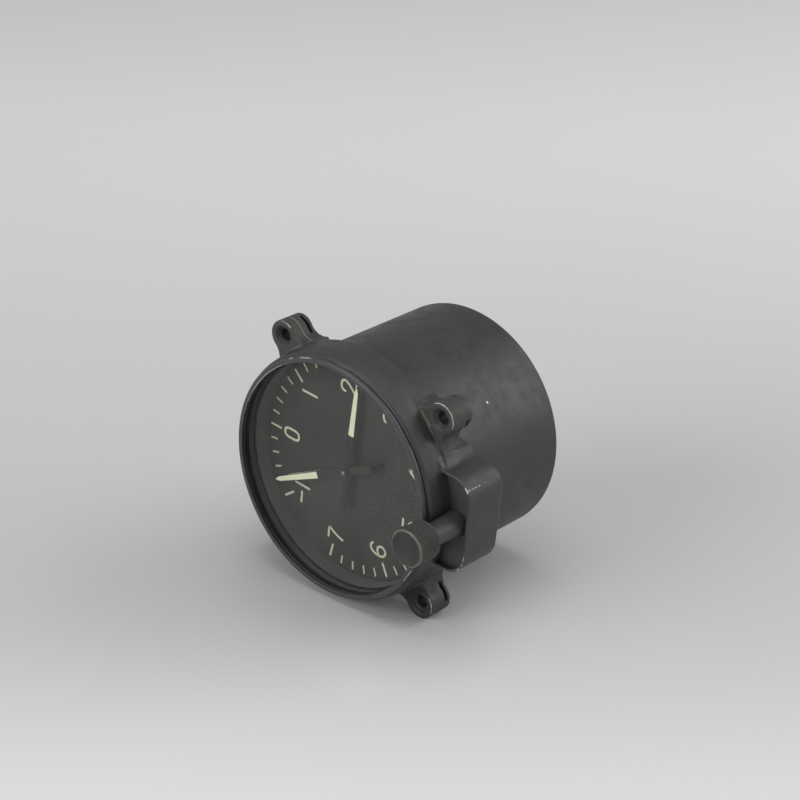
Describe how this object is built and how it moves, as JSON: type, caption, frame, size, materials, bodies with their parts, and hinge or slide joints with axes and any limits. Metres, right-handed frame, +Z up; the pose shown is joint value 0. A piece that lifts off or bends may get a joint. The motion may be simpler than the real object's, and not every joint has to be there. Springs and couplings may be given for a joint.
{
  "type": "aircraft g-meter",
  "caption": "Round-dial panel accelerometer with a lugged front casting, rear can, knurled reset knob, and memory hands over a numbered dial.",
  "frame": {"origin": "centre of the circle of the four lug holes, in the plane of the lugs' front faces", "axes": "-Y out of the dial's face along the instrument's axis, +Z up as the case lies on its side, with the dial's top turned towards -X"},
  "size_m": [0.0879, 0.0755, 0.0792],
  "materials": {
    "case_paint": "worn dark grey stove enamel",
    "bezel_paint": "dark grey enamel, rubbed on its crown",
    "keeper_black": "matt black",
    "clear_glass": "clear flat glass",
    "seal_rubber": "black rubber",
    "housing_black": "matt dark enamel",
    "knob_metal": "blackened brass, bright on its rim",
    "dial_black": "matt charcoal with pale marks and figures",
    "hand_paint": "matt black with pale lit strip",
    "nut_steel": "dull steel",
    "shaft_steel": "ground steel",
    "movement_brass": "lacquered brass",
    "beam_alloy": "turned alloy",
    "spring_steel": "blued spring steel"
  },
  "bodies": {
    "case": {"front_casting": "case_paint", "bezel_ring": "bezel_paint", "glass_keeper_ring": "keeper_black", "cover_glass": "clear_glass", "glass_gasket": "seal_rubber", "case_gasket": "seal_rubber", "rear_can": "case_paint", "case_screws": "nut_steel", "rear_posts": "movement_brass", "captive_nuts": "nut_steel", "housing_cover": "housing_black", "knob_bushing": "housing_black", "lever_pin": "shaft_steel", "pawl_pin": "shaft_steel", "centre_bushing": "movement_brass", "dial_plate": "dial_black", "dial_feet": "movement_brass", "front_plate": "movement_brass", "rear_plate": "movement_brass", "plate_pillars": "movement_brass", "plate_screws": "nut_steel", "centre_bridge": "movement_brass", "bridge_posts": "movement_brass", "bridge_screws": "nut_steel", "upper_beam": "beam_alloy", "lower_beam": "beam_alloy", "guide_rods": "shaft_steel", "upper_spring": "spring_steel", "lower_spring": "spring_steel"},
    "weight": {"seismic_weight": "movement_brass", "weight_rack": "movement_brass"},
    "transfer": {"transfer_arbor": "shaft_steel", "transfer_wheel": "movement_brass", "rack_pinion": "movement_brass"},
    "main_hand": {"main_hand": "hand_paint", "hand_cap": "hand_paint", "centre_staff": "shaft_steel", "centre_pinion": "movement_brass"},
    "high_hand": {"high_hand": "hand_paint", "high_tube": "movement_brass", "high_ratchet": "movement_brass"},
    "low_hand": {"low_hand": "hand_paint", "low_tube": "movement_brass", "low_ratchet": "movement_brass"},
    "reset_knob": {"reset_knob": "knob_metal", "knob_shaft": "shaft_steel", "shaft_clip": "shaft_steel", "knob_pinion": "movement_brass"},
    "reset_lever": {"reset_lever": "shaft_steel", "lever_finger": "shaft_steel"},
    "high_pawl": {"high_pawl": "shaft_steel"},
    "low_pawl": {"low_pawl": "shaft_steel"}
  },
  "joints": [
    {"name": "weight_travel", "type": "slide", "parent": "case", "child": "weight", "axis": [0.9938, 0, -0.1115], "range_m": [-0.00011, 0.00324], "stiffness_N_per_m": 60, "deforming": ["upper_spring", "lower_spring"]},
    {"name": "transfer_turn", "type": "hinge", "parent": "case", "child": "transfer", "pos_m": [0.00181, 0, 0.0161], "axis": [0, 1, 0], "range_deg": [-62.38, 2.62]},
    {"name": "main_hand_turn", "type": "hinge", "parent": "case", "child": "main_hand", "pos_m": [0, 0, 0], "axis": [0, 1, 0], "range_deg": [-11.1, 309.9]},
    {"name": "high_hand_turn", "type": "hinge", "parent": "case", "child": "high_hand", "pos_m": [0, 0, 0], "axis": [0, 1, 0], "range_deg": [-132, 188]},
    {"name": "low_hand_turn", "type": "hinge", "parent": "case", "child": "low_hand", "pos_m": [0, 0, 0], "axis": [0, 1, 0], "range_deg": [-10.6, 309.4]},
    {"name": "knob_turn", "type": "hinge", "parent": "case", "child": "reset_knob", "pos_m": [0.04134, 0, -0.00283], "axis": [0, 1, 0], "range_deg": [0, 45], "stiffness_Nm_per_rad": 0.004, "springref_deg": -11.46},
    {"name": "lever_turn", "type": "hinge", "parent": "case", "child": "reset_lever", "pos_m": [0.02395, 0, -0.00088], "axis": [0, 1, 0], "range_deg": [-9.61, 0.3]},
    {"name": "high_pawl_turn", "type": "hinge", "parent": "case", "child": "high_pawl", "pos_m": [-0.00376, 0, -0.00934], "axis": [0, 1, 0], "range_deg": [-0.3, 7.8]},
    {"name": "low_pawl_turn", "type": "hinge", "parent": "case", "child": "low_pawl", "pos_m": [-0.00376, 0, -0.00934], "axis": [0, 1, 0], "range_deg": [-0.3, 7.8]}
  ],
  "couplings": [
    {"joint": "transfer_turn", "follows": "weight_travel", "rad_per_m": -333.33},
    {"joint": "main_hand_turn", "follows": "weight_travel", "rad_per_m": 1666.7},
    {"joint": "lever_turn", "follows": "knob_turn", "ratio": -0.2069},
    {"joint": "high_pawl_turn", "follows": "knob_turn", "ratio": 0.16667},
    {"joint": "low_pawl_turn", "follows": "knob_turn", "ratio": 0.16667}
  ]
}
